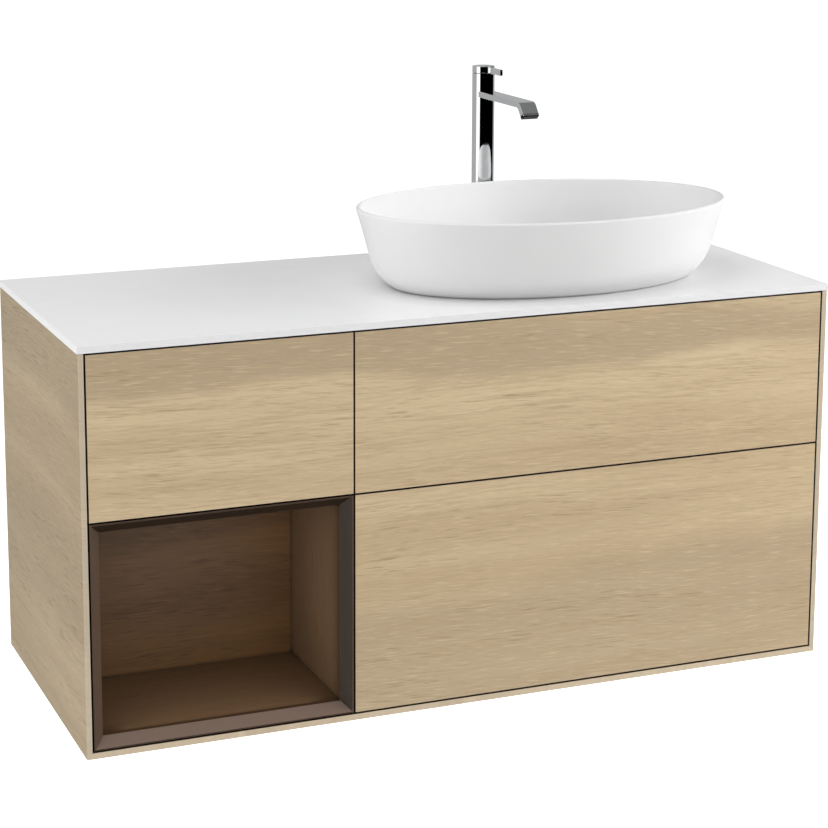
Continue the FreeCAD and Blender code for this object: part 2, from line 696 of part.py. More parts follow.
# ---------------------------------------------------------------- tap
def tap():
    inner = "(tap_radius - tap_wall)"
    seat = "(cartridge_radius + cartridge_play)"
    seat_floor = "(tap_height - cartridge_height - cartridge_nut_height - cartridge_headroom)"
    web = f"({seat_floor} - cartridge_floor)"
    body = turned("tap_body", basin_x, tap_d, plate_top, [
        (inner, "tap_seal"), ("tap_radius", "tap_seal"), ("tap_radius", "tap_height"), (seat, "tap_height"),
        (seat, seat_floor), ("0", seat_floor), ("0", web), (inner, web),
    ])
    ports = [circle(f"{sign}inlet_spacing/2", "0", "waterway_radius") for sign in ("-", "")]
    cut(body, "z", f"{web} - 1", "cartridge_floor + 2", ports)
    outlet_z = "(spout_top - spout_thickness/2)"
    cut(body, "y", "cartridge_radius - 2", "tap_wall + 8", [circle("0", outlet_z, "waterway_radius")])

    turned("tap_base_seal", basin_x, tap_d, plate_top, [
        (inner, "0"), ("tap_radius - seat_inset", "0"), ("tap_radius - seat_inset", "tap_seal"),
        (inner, "tap_seal")])
    shank_radius = "(tap_radius - shank_inset)"
    shank_end = "(-plate_thickness - shank_length)"
    collar = f"({inner} - fit_gap)"
    shank = turned("tap_shank", basin_x, tap_d, plate_top, [
        ("0", shank_end), (shank_radius, shank_end), (shank_radius, "-shank_play"), (collar, "-shank_play"),
        (collar, "shank_collar"), ("0", "shank_collar")])
    inlets = [circle(f"{sign}inlet_spacing/2", "0", "inlet_radius") for sign in ("-", "")]
    cut(shank, "z", f"{shank_end} - 1", "inlet_depth + 1", inlets)
    cut(shank, "z", f"{shank_end}", f"shank_collar - {shank_end} + 1", ports)
    prism("tap_nut", "z", "cabinet_height - nut_height", "nut_height",
          [hexagon(basin_x, tap_d, f"{shank_radius} + tap_nut_wall"),
           circle(basin_x, tap_d, f"{shank_radius} + thread_play")])

    cartridge_top = f"({seat_floor} + cartridge_height)"
    well = f"({cartridge_top} - spindle_depth)"
    spindle_hole = "(spindle_radius + spindle_play)"
    turned("tap_cartridge", basin_x, tap_d, plate_top, [
        ("0", seat_floor), ("cartridge_radius", seat_floor), ("cartridge_radius", cartridge_top),
        (spindle_hole, cartridge_top), (spindle_hole, well), ("0", well)])
    turned("cartridge_nut", basin_x, tap_d, plate_top, [
        (f"{spindle_hole} + 1", cartridge_top), ("cartridge_radius", cartridge_top),
        ("cartridge_radius", f"{cartridge_top} + cartridge_nut_height"),
        (f"{spindle_hole} + 1", f"{cartridge_top} + cartridge_nut_height")])
    turned("cartridge_spindle", basin_x, tap_d, plate_top, [
        ("0", f"{well} + spindle_play"), ("spindle_radius", f"{well} + spindle_play"),
        ("spindle_radius", "tap_height + spindle_stand"), ("0", "tap_height + spindle_stand")])

    cap_base = "(tap_height + cap_gap)"
    cap_top = f"({cap_base} + cap_height)"
    cavity = "(tap_radius - cap_wall)"
    cap = turned("lever_cap", basin_x, tap_d, plate_top, [
        (cavity, cap_base), ("tap_radius", cap_base), ("tap_radius", cap_top), ("0", cap_top),
        ("0", f"{cap_top} - cap_roof"), (cavity, f"{cap_top} - cap_roof")])
    blade_base = f"({cap_top} - blade_height)"
    cut(cap, "z", blade_base, "blade_height + 1",
        [rectangle(("-blade_width/2", "blade_width/2"), ("blade_root", "tap_radius + 2"))])
    board("lever_blade", (f"{basin_x} - blade_width/2", f"{basin_x} + blade_width/2"),
          (f"{tap_d} + blade_root", f"{tap_d} + blade_reach"),
          (f"{plate_top} + {blade_base}", f"{plate_top} + {cap_top}"))


def spout():
    """A flat bar that leaves the tap level and folds down to its mouth."""
    angle = "nose_angle"
    top = f"({plate_top} + spout_top)"
    under = f"({top} - spout_thickness)"
    bend = (f"({tap_d} + spout_bend)", top)
    tip_outer = (f"{bend[0]} + nose_length*cos({angle})", f"{bend[1]} - nose_length*sin({angle})")

    def along_mouth(distance):
        """A point of the mouth, at a distance from its outer edge."""
        return (f"{tip_outer[0]} - ({distance})*sin({angle})", f"{tip_outer[1]} - ({distance})*cos({angle})")

    tip_inner = along_mouth("nose_thickness")
    climb = f"(({under} - ({tip_inner[1]}))/sin({angle}))"
    crook = (f"{tip_inner[0]} - {climb}*cos({angle})", under)
    root = f"({tap_d} + tap_radius/2)"
    outline = [(root, top), bend, tip_outer, tip_inner, crook, (root, under)]
    body = prism("tap_spout", "x", f"{basin_x} - spout_width/2", "spout_width", [outline])

    wall = "spout_wall"
    turn = f"{wall}*tan({angle}/2)"
    channel_outline = [
        (root, f"{top} - {wall}"), (f"{bend[0]} - {turn}", f"{top} - {wall}"), along_mouth(wall),
        along_mouth(f"nose_thickness - {wall}"), (f"{crook[0]} + {turn}", f"{under} + {wall}"),
        (root, f"{under} + {wall}"),
    ]
    cut(body, "x", f"{basin_x} - spout_width/2 + {wall}", f"spout_width - 2*{wall}", [channel_outline])
    cut(body, "z", f"{under} - 1", "spout_thickness + 2", [circle(basin_x, tap_d, "tap_radius")])

    play = "aerator_play"
    low = along_mouth(f"{wall} + {play}")
    high = along_mouth(f"nose_thickness - {wall} - {play}")
    plug = [
        low, high,
        (f"{high[0]} - aerator_depth*cos({angle})", f"{high[1]} + aerator_depth*sin({angle})"),
        (f"{low[0]} - aerator_depth*cos({angle})", f"{low[1]} + aerator_depth*sin({angle})"),
    ]
    side = f"{basin_x} - spout_width/2 + {wall} + {play}"
    prism("tap_aerator", "x", side, f"spout_width - 2*{wall} - 2*{play}", [plug])


# ---------------------------------------------------------------- build, check and write
carcass()
hangers()
niche()
rails = []
drawer("upper", "left", rails)
drawer("upper", "right", rails, cutout=True)
drawer("lower", "right", rails)
group("cabinet_runner_rails", rails)
basin()
waste()
tap()
spout()
document.recompute()

for item in document.Objects:
    if "Invalid" in item.State or "Error" in item.State:
        raise RuntimeError(f"{item.Label} failed: {item.State}")
    if item.TypeId == "PartDesign::Pocket" and item.Shape.Volume >= item.BaseFeature.Shape.Volume - 0.01:
        raise RuntimeError(f"a pocket of {item.getParent().Label} removes nothing")

os.makedirs("parts", exist_ok=True)
for label, item in NODES.items():
    shape = item.Shape
    if shape.isNull() or not shape.isValid() or not shape.Solids:
        raise RuntimeError(f"{label} has no valid solid")
    shape.exportStep(os.path.join("parts", f"{label}.step"))
print(f"wrote {len(NODES)} nodes")
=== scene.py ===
import math

import bmesh
import bpy
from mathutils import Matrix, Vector


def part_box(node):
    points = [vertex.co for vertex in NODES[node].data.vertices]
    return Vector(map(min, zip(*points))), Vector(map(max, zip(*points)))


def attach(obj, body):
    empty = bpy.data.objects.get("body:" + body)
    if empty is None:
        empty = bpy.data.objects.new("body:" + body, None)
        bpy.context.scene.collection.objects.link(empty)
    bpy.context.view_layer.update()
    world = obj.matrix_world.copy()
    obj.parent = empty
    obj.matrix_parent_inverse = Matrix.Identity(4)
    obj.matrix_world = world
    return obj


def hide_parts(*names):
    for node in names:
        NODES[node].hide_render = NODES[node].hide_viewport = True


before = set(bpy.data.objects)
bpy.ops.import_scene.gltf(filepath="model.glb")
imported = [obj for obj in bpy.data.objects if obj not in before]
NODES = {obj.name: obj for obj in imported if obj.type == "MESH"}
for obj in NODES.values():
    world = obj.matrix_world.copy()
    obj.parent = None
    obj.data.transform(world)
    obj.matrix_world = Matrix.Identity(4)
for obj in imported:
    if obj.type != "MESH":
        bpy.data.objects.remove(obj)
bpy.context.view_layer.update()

# ---------------------------------------------------------------- sizes taken from the CAD nodes, in metres
PLATE_LO, PLATE_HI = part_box("worktop_plate")
PLATE_TOP = PLATE_HI.z
BASIN_LO, BASIN_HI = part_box("basin")
BASIN_X = (BASIN_LO.x + BASIN_HI.x) / 2
BASIN_Y = (BASIN_LO.y + BASIN_HI.y) / 2
BODY_LO, BODY_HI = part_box("tap_body")
TAP_Y = (BODY_LO.y + BODY_HI.y) / 2
TAP_RADIUS = (BODY_HI.x - BODY_LO.x) / 2


# ---------------------------------------------------------------- wiring of materials
class Wiring:
    """Puts nodes into one material or node group and joins them."""

    def __init__(self, tree):
        self.tree = tree
        self.count = 0

    def put(self, kind, inputs=(), **settings):
        made = self.tree.nodes.new(kind)
        made.location = (220 * (self.count % 12), -260 * (self.count // 12))
        self.count += 1
        for name, value in settings.items():
            setattr(made, name, value)
        for socket, value in dict(inputs).items():
            self.feed(made.inputs[socket], value)
        return made

    def feed(self, socket, value):
        if isinstance(value, bpy.types.NodeSocket):
            self.tree.links.new(value, socket)
        elif socket.type == "RGBA" and len(value) == 3:
            socket.default_value = (*value, 1)
        else:
            socket.default_value = value

    def math(self, operation, *values, clamp=False):
        made = self.put("ShaderNodeMath", operation=operation, use_clamp=clamp)
        for k, value in enumerate(values):
            self.feed(made.inputs[k], value)
        return made.outputs[0]

    def mix(self, factor, first, second, blend="MIX"):
        made = self.put("ShaderNodeMix", data_type="RGBA", blend_type=blend)
        for socket, value in zip((made.inputs[0], made.inputs[6], made.inputs[7]), (factor, first, second)):
            self.feed(socket, value)
        return made.outputs[2]

    def between(self, value, low, high, smooth=True):
        """0 below low and 1 above high, with an even or a soft rise."""
        made = self.put("ShaderNodeMapRange", {0: value, 1: low, 2: high})
        made.interpolation_type = "SMOOTHSTEP" if smooth else "LINEAR"
        return made.outputs[0]

    def noise(self, vector, scale=1.0, detail=2.0, roughness=0.5, distortion=0.0):
        made = self.put("ShaderNodeTexNoise", {"Vector": vector, "Scale": scale, "Detail": detail,
                                               "Roughness": roughness, "Distortion": distortion})
        return made.outputs[0]

    def vector(self, x, y, z=0.0):
        return self.put("ShaderNodeCombineXYZ", {0: x, 1: y, 2: z}).outputs[0]

    def apart(self, vector):
        return self.put("ShaderNodeSeparateXYZ", {0: vector}).outputs

    def place(self):
        """Position on the object at rest, in metres."""
        return self.put("ShaderNodeTexCoord").outputs["Object"]

    def use(self, group, inputs=()):
        made = self.put("ShaderNodeGroup", node_tree=group)
        for socket, value in dict(inputs).items():
            self.feed(made.inputs[socket], value)
        return made.outputs


def blank(owner):
    """Empties the node tree of a material or world, and hands back its wiring."""
    owner.use_nodes = True
    owner.node_tree.nodes.clear()
    return Wiring(owner.node_tree)


def link_new(name, data):
    made = bpy.data.objects.new(name, data)
    bpy.context.scene.collection.objects.link(made)
    return made


def new_group(name, inputs, outputs):
    group = bpy.data.node_groups.new(name, "ShaderNodeTree")
    kinds = {"value": "NodeSocketFloat", "vector": "NodeSocketVector", "colour": "NodeSocketColor"}
    for label, kind, start in inputs:
        socket = group.interface.new_socket(label, in_out="INPUT", socket_type=kinds[kind])
        if start is not None:
            socket.default_value = start
    for label, kind in outputs:
        group.interface.new_socket(label, in_out="OUTPUT", socket_type=kinds[kind])
    wiring = Wiring(group)
    entry = wiring.put("NodeGroupInput").outputs
    leave = wiring.put("NodeGroupOutput").inputs
    return group, wiring, entry, leave


def new_material(name, roughness=0.5, metallic=0.0, coat=0.0, coat_roughness=0.1, ior=1.45):
    material = bpy.data.materials.new(name)
    wiring = blank(material)
    shader = wiring.put("ShaderNodeBsdfPrincipled", {
        "Roughness": roughness, "Metallic": metallic, "Coat Weight": coat,
        "Coat Roughness": coat_roughness, "IOR": ior})
    wiring.put("ShaderNodeOutputMaterial", {"Surface": shader.outputs[0]})
    return material, wiring, shader.inputs


def bump(wiring, height, strength, distance):
    made = wiring.put("ShaderNodeBump", {"Height": height, "Strength": strength, "Distance": distance})
    return made.outputs[0]


# ---------------------------------------------------------------- shared effects
def wood_grain_group():
    """Oak seen along the grain. Along and Across are distances in metres."""
    group, w, entry, leave = new_group(
        "wood_grain",
        [("Along", "value", 0.0), ("Across", "value", 0.0), ("Leaf", "value", 0.0)],
        [(label, "value") for label in ("Figure", "Streaks", "Pale flecks", "Pores", "Height")])
    along, across, leaf = entry["Along"], entry["Across"], entry["Leaf"]

    def wave(rate_along, rate_across):
        return w.noise(w.vector(w.math("MULTIPLY", along, rate_along),
                                w.math("MULTIPLY", across, rate_across), leaf), detail=1.0)

    # The grain wanders: the lines rise and fall slowly along the board, with short ripples on top.
    drift = wave(1.6, 1.4)
    ripple = wave(7.0, 26.0)
    bent = w.math("MULTIPLY_ADD", w.math("SUBTRACT", drift, 0.5), 0.045, across)
    bent = w.math("MULTIPLY_ADD", w.math("SUBTRACT", ripple, 0.5), 0.005, bent)

    def layer(rate_along, rate_across, shift, detail, roughness):
        return w.noise(w.vector(w.math("MULTIPLY", along, rate_along), w.math("MULTIPLY", bent, rate_across),
                                w.math("ADD", leaf, shift)), detail=detail, roughness=roughness)

    figure = layer(0.9, 12.0, 0.0, 2.0, 0.5)
    soft = layer(3.0, 52.0, 3.1, 2.0, 0.55)
    lines = layer(7.0, 190.0, 8.2, 3.0, 0.6)
    # The pores lie a little aslant to the growth lines.
    bent = w.math("MULTIPLY_ADD", along, 0.045, bent)
    fibre = layer(30.0, 560.0, 5.7, 2.0, 0.6)
    flecks = layer(26.0, 420.0, 9.3, 1.0, 0.5)
    dashes = layer(24.0, 420.0, 12.9, 1.0, 0.5)
    hair = layer(60.0, 1500.0, 17.0, 1.0, 0.5)
    streaks = w.math("MULTIPLY_ADD", lines, 0.4, w.math("MULTIPLY", fibre, 0.3))
    streaks = w.math("MULTIPLY_ADD", soft, 0.3, streaks)
    patches = w.between(layer(3.5, 26.0, 21.0, 2.0, 0.5), 0.42, 0.62)
    pores = w.math("MULTIPLY", w.between(dashes, 0.56, 0.72), w.math("MULTIPLY_ADD", patches, 0.75, 0.25))
    pores = w.math("MAXIMUM", pores, w.math("MULTIPLY", w.between(hair, 0.56, 0.72), 0.45))
    w.feed(leave["Figure"], figure)
    w.feed(leave["Streaks"], streaks)
    w.feed(leave["Pale flecks"], w.between(flecks, 0.54, 0.72))
    w.feed(leave["Pores"], pores)
    w.feed(leave["Height"], w.math("SUBTRACT", w.math("MULTIPLY", streaks, 0.6), pores))
    return group


def edge_highlight_group():
    """Where a corner is near: 1 on the corner, 0 on the flats; the mask for the highlights painted along
    edges.
    """
    group, w, entry, leave = new_group("painted_edge_highlight", [("Width", "value", 0.001)], [("Edge", "value")])
    rounded = w.put("ShaderNodeBevel", samples=4)
    w.feed(rounded.inputs["Radius"], entry["Width"])
    flat = w.put("ShaderNodeNewGeometry").outputs["Normal"]
    dot = w.put("ShaderNodeVectorMath", operation="DOT_PRODUCT")
    w.feed(dot.inputs[0], rounded.outputs[0])
    w.feed(dot.inputs[1], flat)
    w.feed(leave["Edge"], w.between(w.math("SUBTRACT", 1.0, dot.outputs["Value"]), 0.01, 0.22))
    return group


def gap_shade_group():
    """1 in the open, 0 deep in a narrow gap: the mask for the shade painted into gaps and corners."""
    group, w, entry, leave = new_group("painted_gap_shade", [("Reach", "value", 0.01)], [("Open", "value")])
    gap = w.put("ShaderNodeAmbientOcclusion", samples=6)
    w.feed(gap.inputs["Distance"], entry["Reach"])
    w.feed(leave["Open"], w.between(gap.outputs["AO"], 0.18, 0.82))
    return group


def handling_group():
    """Faint wiping marks and a fine tooth, for surfaces that would otherwise be dead even."""
    group, w, entry, leave = new_group(
        "handling", [("Position", "vector", None), ("Size", "value", 1.0)],
        [("Smudge", "value"), ("Tooth", "value"), ("Speck", "value")])
    scaled = w.put("ShaderNodeVectorMath", operation="SCALE")
    w.feed(scaled.inputs[0], entry["Position"])
    w.feed(scaled.inputs["Scale"], entry["Size"])
    place = scaled.outputs[0]
    w.feed(leave["Smudge"], w.between(w.noise(place, 7.0, 4.0, 0.6, 0.6), 0.35, 0.7))
    w.feed(leave["Tooth"], w.noise(place, 1400.0, 2.0, 0.6))
    w.feed(leave["Speck"], w.between(w.noise(place, 420.0, 1.0), 0.66, 0.74))
    return group


WOOD_GRAIN = wood_grain_group()
EDGE_HIGHLIGHT = edge_highlight_group()
PAINTED_GAP_SHADE = gap_shade_group()
HANDLING = handling_group()


# ---------------------------------------------------------------- materials
def linear(red, green, blue):
    """A colour as a paint chart gives it, 0 to 255, in the linear values that shaders use."""
    return tuple(((c / 255 + 0.055) / 1.055) ** 2.4 for c in (red, green, blue))


def oak_veneer(name, along, across, leaf, bands=(), tone_and_shade=1.0, rim=0.0):
    """Light oak veneer. Bands of darker heartwood are (across at along 0, slope, half width, softness,
    strength); rim is how much a painted highlight pales the faces that look to the front."""
    material, w, shader = new_material(name, coat=0.08, coat_roughness=0.35)
    axes = w.apart(w.place())
    run, rise = axes[along], axes[across]
    grain = w.use(WOOD_GRAIN, {"Along": run, "Across": rise, "Leaf": leaf})
    # The colours are scaled as a whole; a scale below 1 is painted shade.
    base, pale, deep, heart, pore = (linear(*(tone_and_shade * c for c in tone)) for tone in (
        (206, 184, 148), (219, 199, 162), (184, 160, 126), (178, 158, 129), (140, 117, 84)))
    colour = w.mix(w.math("MULTIPLY", w.between(grain["Figure"], 0.40, 0.66), 0.55), base, deep)
    colour = w.mix(w.math("MULTIPLY", w.between(grain["Figure"], 0.50, 0.26), 0.6), colour, pale)
    wander = w.noise(w.vector(w.math("MULTIPLY", run, 3.4), w.math("MULTIPLY", rise, 9.0), leaf + 30.0),
                     detail=3.0)
    for level, slope, half, soft, strength in bands:
        middle = w.math("MULTIPLY_ADD", run, slope, level)
        middle = w.math("MULTIPLY_ADD", w.math("SUBTRACT", wander, 0.5), 0.09, middle)
        off = w.math("ABSOLUTE", w.math("SUBTRACT", rise, middle))
        mask = w.math("MULTIPLY", w.between(off, half + soft, half), strength)
        colour = w.mix(mask, colour, heart)
    colour = w.mix(w.math("MULTIPLY", w.between(grain["Streaks"], 0.46, 0.60), 0.60), colour, deep)
    colour = w.mix(w.math("MULTIPLY", grain["Pale flecks"], 0.42), colour, pale)
    colour = w.mix(w.math("MULTIPLY", grain["Pores"], 0.40), colour, pore)
    # Painted highlight: the corners are paled as if they caught the light.
    edge = w.use(EDGE_HIGHLIGHT, {"Width": 0.0012})["Edge"]
    colour = w.mix(w.math("MULTIPLY", edge, 0.45), colour, linear(232, 216, 192))
    facing = w.apart(w.put("ShaderNodeNewGeometry").outputs["Normal"])
    # Painted highlight: the faces that look to the front are paled by rim.
    if rim:
        ahead = w.between(facing[1], -0.5, -0.9)
        colour = w.mix(w.math("MULTIPLY", ahead, rim), colour, linear(236, 222, 200))
    # Painted shade: deep in gaps and corners the oak turns near black.
    opening = w.use(PAINTED_GAP_SHADE, {"Reach": 0.014})["Open"]
    colour = w.mix(opening, linear(26, 17, 9), colour)
    w.feed(shader["Base Color"], colour)
    w.feed(shader["Roughness"], w.math("MULTIPLY_ADD", grain["Pores"], 0.2, 0.48))
    w.feed(shader["Normal"], bump(w, grain["Height"], 0.35, 0.0003))
    return material


def dark_oak(name, along, across, leaf, tone, figure=1.0):
    """Walnut-brown stained oak with a satin lacquer."""
    material, w, shader = new_material(name, coat=0.06, coat_roughness=0.3)
    axes = w.apart(w.place())
    grain = w.use(WOOD_GRAIN, {"Along": axes[along], "Across": axes[across], "Leaf": leaf})
    base, pale, deep = (linear(*(k * c for c in tone)) for k in (1.0, 1.12, 0.80))
    colour = w.mix(w.math("MULTIPLY", w.between(grain["Figure"], 0.42, 0.66), figure), base, deep)
    colour = w.mix(w.math("MULTIPLY", w.between(grain["Streaks"], 0.45, 0.62), 0.7 * figure), colour, deep)
    colour = w.mix(w.math("MULTIPLY", grain["Pale flecks"], 0.55 * figure), colour, pale)
    colour = w.mix(w.math("MULTIPLY", grain["Pores"], 0.6 * figure), colour, linear(38, 27, 18))
    # Painted sheen and shade on the bevelled mouth, by which way each face looks: pale mauve below, brown at
    # the left, dark elsewhere.
    facing = w.put("ShaderNodeNewGeometry").outputs["Normal"]
    ahead = w.math("ABSOLUTE", w.apart(facing)[1])
    bevel = w.math("MULTIPLY", w.between(ahead, 0.5, 0.68), w.between(ahead, 0.95, 0.78))
    painted_sheen = w.mix(w.between(w.apart(facing)[2], 0.3, 0.7), linear(92, 74, 62), linear(132, 112, 100))
    painted_sheen = w.mix(w.between(w.apart(facing)[0], -0.3, -0.7), painted_sheen, linear(40, 28, 17))
    painted_sheen = w.mix(w.between(w.apart(facing)[2], -0.3, -0.7), painted_sheen, linear(48, 35, 25))
    colour = w.mix(w.math("MULTIPLY", bevel, 0.8), colour, painted_sheen)
    # Painted highlight: a pale line along the corners.
    edge = w.use(EDGE_HIGHLIGHT, {"Width": 0.0012})["Edge"]
    colour = w.mix(w.math("MULTIPLY", edge, 0.5), colour, linear(158, 140, 132))
    # Painted shade: deep in gaps and corners the wood turns near black.
    opening = w.use(PAINTED_GAP_SHADE, {"Reach": 0.009})["Open"]
    colour = w.mix(opening, linear(22, 14, 8), colour)
    w.feed(shader["Base Color"], colour)
    w.feed(shader["Roughness"], w.math("MULTIPLY_ADD", grain["Pores"], 0.2, 0.46))
    w.feed(shader["Normal"], bump(w, grain["Height"], 0.3, 0.0003))
    return material


def moulded(name, colour, dark, roughness, tooth=0.15, coat=0.0, metallic=0.0, size=1.0, ior=1.45):
    """Plastic, rubber, glaze or plain metal: one colour with faint cloudiness, smudges and a fine tooth."""
    material, w, shader = new_material(name, metallic=metallic, coat=coat, ior=ior)
    marks = w.use(HANDLING, {"Position": w.place(), "Size": size})
    cloud = w.mix(w.math("MULTIPLY", marks["Smudge"], 0.35), linear(*colour), linear(*dark))
    # Painted highlight: the corners are lightened towards white.
    edge = w.use(EDGE_HIGHLIGHT, {"Width": 0.0008})["Edge"]
    w.feed(shader["Base Color"], w.mix(w.math("MULTIPLY", edge, 0.15), cloud, (1.0, 1.0, 1.0)))
    w.feed(shader["Roughness"], w.math("MULTIPLY_ADD", marks["Smudge"], 0.08, roughness))
    w.feed(shader["Normal"], bump(w, marks["Tooth"], tooth, 0.0001))
    return material


def polished_chrome(name):
    material, w, shader = new_material(name, metallic=1.0)
    marks = w.use(HANDLING, {"Position": w.place(), "Size": 3.0})
    w.feed(shader["Base Color"], w.mix(marks["Smudge"], linear(238, 239, 240), linear(232, 234, 236)))
    w.feed(shader["Roughness"], w.math("MULTIPLY_ADD", marks["Smudge"], 0.025, 0.02))
    return material


def drawn_steel(name, colour, axis):
    """Bright zinc-plated steel with fine drawing lines along one axis."""
    material, w, shader = new_material(name, metallic=1.0)
    axes = w.apart(w.place())
    rates = [700.0, 700.0, 700.0]
    rates[axis] = 12.0
    drawn = w.noise(w.vector(*(w.math("MULTIPLY", axes[k], rates[k]) for k in range(3))), detail=2.0)
    marks = w.use(HANDLING, {"Position": w.place(), "Size": 2.0})
    body = w.mix(w.math("MULTIPLY", drawn, 0.5), linear(*colour), linear(*(0.8 * c for c in colour)))
    w.feed(shader["Base Color"], w.mix(w.math("MULTIPLY", marks["Speck"], 0.35), body, linear(120, 124, 128)))
    w.feed(shader["Roughness"], w.math("MULTIPLY_ADD", marks["Smudge"], 0.12, 0.26))
    w.feed(shader["Normal"], bump(w, drawn, 0.15, 0.0001))
    return material


def melamine(name, colour, weave=0.0):
    """Melamine-faced board with a pressed thread pattern; weave makes the threads deeper."""
    material, w, shader = new_material(name)
    axes = w.apart(w.place())
    marks = w.use(HANDLING, {"Position": w.place(), "Size": 1.0})
    threads = []
    fine, coarse = 700.0, 60.0
    for first, second in ((0, 1), (1, 0), (2, 0)):
        place = w.vector(w.math("MULTIPLY", axes[first], fine), w.math("MULTIPLY", axes[second], coarse),
                         w.math("MULTIPLY", axes[2], coarse + first * fine))
        threads.append(w.noise(place, detail=2.0))
    cloth = w.math("MULTIPLY", w.math("ADD", threads[0], w.math("ADD", threads[1], threads[2])), 1 / 3)
    tint = w.mix(w.between(cloth, 0.42, 0.58), linear(*colour), linear(*(0.86 * c for c in colour)))
    body = w.mix(w.math("MULTIPLY", marks["Speck"], 0.3), tint, linear(*(0.75 * c for c in colour)))
    # Painted shade: deep in gaps and corners the board turns near black.
    opening = w.use(PAINTED_GAP_SHADE, {"Reach": 0.022})["Open"]
    w.feed(shader["Base Color"], w.mix(opening, linear(26, 16, 9), body))
    w.feed(shader["Roughness"], w.math("MULTIPLY_ADD", marks["Smudge"], 0.1, 0.5))
    w.feed(shader["Normal"], bump(w, cloth, 0.1 + weave, 0.0002))
    return material


X, Y, Z = 0, 1, 2
MATERIALS = {
    "front": oak_veneer("oak_fronts", X, Z, 1.7, tone_and_shade=1.035, bands=(
        (0.549, -0.020, 0.020, 0.026, 0.75), (0.585, 0.0, 0.050, 0.030, 0.40),
        (0.072, 0.090, 0.075, 0.045, 0.62))),
    # The side panels: the same oak made darker, as painted shade, and a painted highlight on the faces that
    # look to the front.
    "side": oak_veneer("oak_sides", Y, Z, 6.4, tone_and_shade=0.86, rim=0.45, bands=(
        (0.56, 0.05, 0.035, 0.05, 0.6), (0.20, -0.1, 0.05, 0.08, 0.4))),
    # The underside: a painted highlight on the faces that look to the front.
    "underside": oak_veneer("oak_underside", X, Y, 11.2, rim=0.4, bands=((-0.2, 0.02, 0.05, 0.08, 0.5),)),
    "niche_back": dark_oak("stained_oak_back", X, Z, 2.9, (89, 62, 33), figure=0.8),
    "niche_sides": dark_oak("stained_oak_sides", Z, Y, 4.4, (90, 70, 50), figure=0.3),
    "niche_levels": dark_oak("stained_oak_levels", X, Y, 7.7, (80, 60, 41), figure=0.3),
    "plate": moulded("satin_white_top", (240, 240, 240), (234, 234, 235), 0.32, tooth=0.05),
    "basin": moulded("matt_white_glaze", (233, 233, 233), (229, 229, 229), 0.36, tooth=0.04, coat=0.1),
    "chrome": polished_chrome("polished_chrome"),
    "carcass": melamine("grey_melamine", (156, 151, 142)),
    "drawer": melamine("brown_linen_melamine", (98, 84, 72), weave=0.4),
    "guard": moulded("anthracite_plastic", (76, 76, 78), (66, 66, 68), 0.5, tooth=0.5),
    "steel": drawn_steel("zinc_plated_steel", (205, 208, 212), Y),
    "brass": drawn_steel("turned_brass", (212, 178, 110), Z),
    "white_plastic": moulded("white_trap_plastic", (236, 237, 237), (226, 228, 228), 0.25, tooth=0.1,
                             coat=0.2),
    "dark_plastic": moulded("black_plastic", (42, 43, 45), (34, 35, 36), 0.42, tooth=0.3),
    "rubber": moulded("grey_rubber", (62, 62, 62), (52, 52, 52), 0.7, tooth=0.5),
}


# ---------------------------------------------------------------- helpers for pieces
def shape(name, build, material, body, replaced=(), smooth=30.0):
    """One piece: build fills a bmesh in place, in metres, at rest."""
    mesh = bpy.data.meshes.new(name)
    solid = bmesh.new()
    build(solid)
    bmesh.ops.remove_doubles(solid, verts=solid.verts, dist=1e-7)
    bmesh.ops.recalc_face_normals(solid, faces=solid.faces)
    solid.to_mesh(mesh)
    solid.free()
    mesh.materials.append(MATERIALS[material])
    for face in mesh.polygons:
        face.use_smooth = True
    mesh.set_sharp_from_angle(angle=math.radians(smooth))
    piece = link_new(name, mesh)
    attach(piece, body)
    if replaced:
        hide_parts(*replaced)
    return piece


def soften(piece, width, segments=3, angle=30.0):
    bevel = piece.modifiers.new("softened_edges", "BEVEL")
    bevel.width = width
    bevel.segments = segments
    bevel.limit_method = "ANGLE"
    bevel.angle_limit = math.radians(angle)
    bevel.harden_normals = True
    return bevel


def turned(solid, profile, centre, sides=96):
    """A closed round form from (radius, height) pairs; a radius of 0 closes it on the axis."""
    rings = []
    for radius, height in profile:
        if radius == 0:
            rings.append([solid.verts.new((centre[0], centre[1], height))])
            continue
        turn = [2 * math.pi * k / sides for k in range(sides)]
        rings.append([solid.verts.new((centre[0] + radius * math.cos(a),
                                       centre[1] + radius * math.sin(a), height)) for a in turn])
    for lower, upper in zip(rings, rings[1:]):
        for k in range(sides):
            corners = [lower[k % len(lower)], lower[(k + 1) % len(lower)],
                       upper[(k + 1) % len(upper)], upper[k % len(upper)]]
            unique = list(dict.fromkeys(corners))
            if len(unique) > 2:
                solid.faces.new(unique)


def bezier(t, a, b, c, d):
    return (1 - t) ** 3 * a + 3 * (1 - t) ** 2 * t * b + 3 * (1 - t) * t ** 2 * c + t ** 3 * d


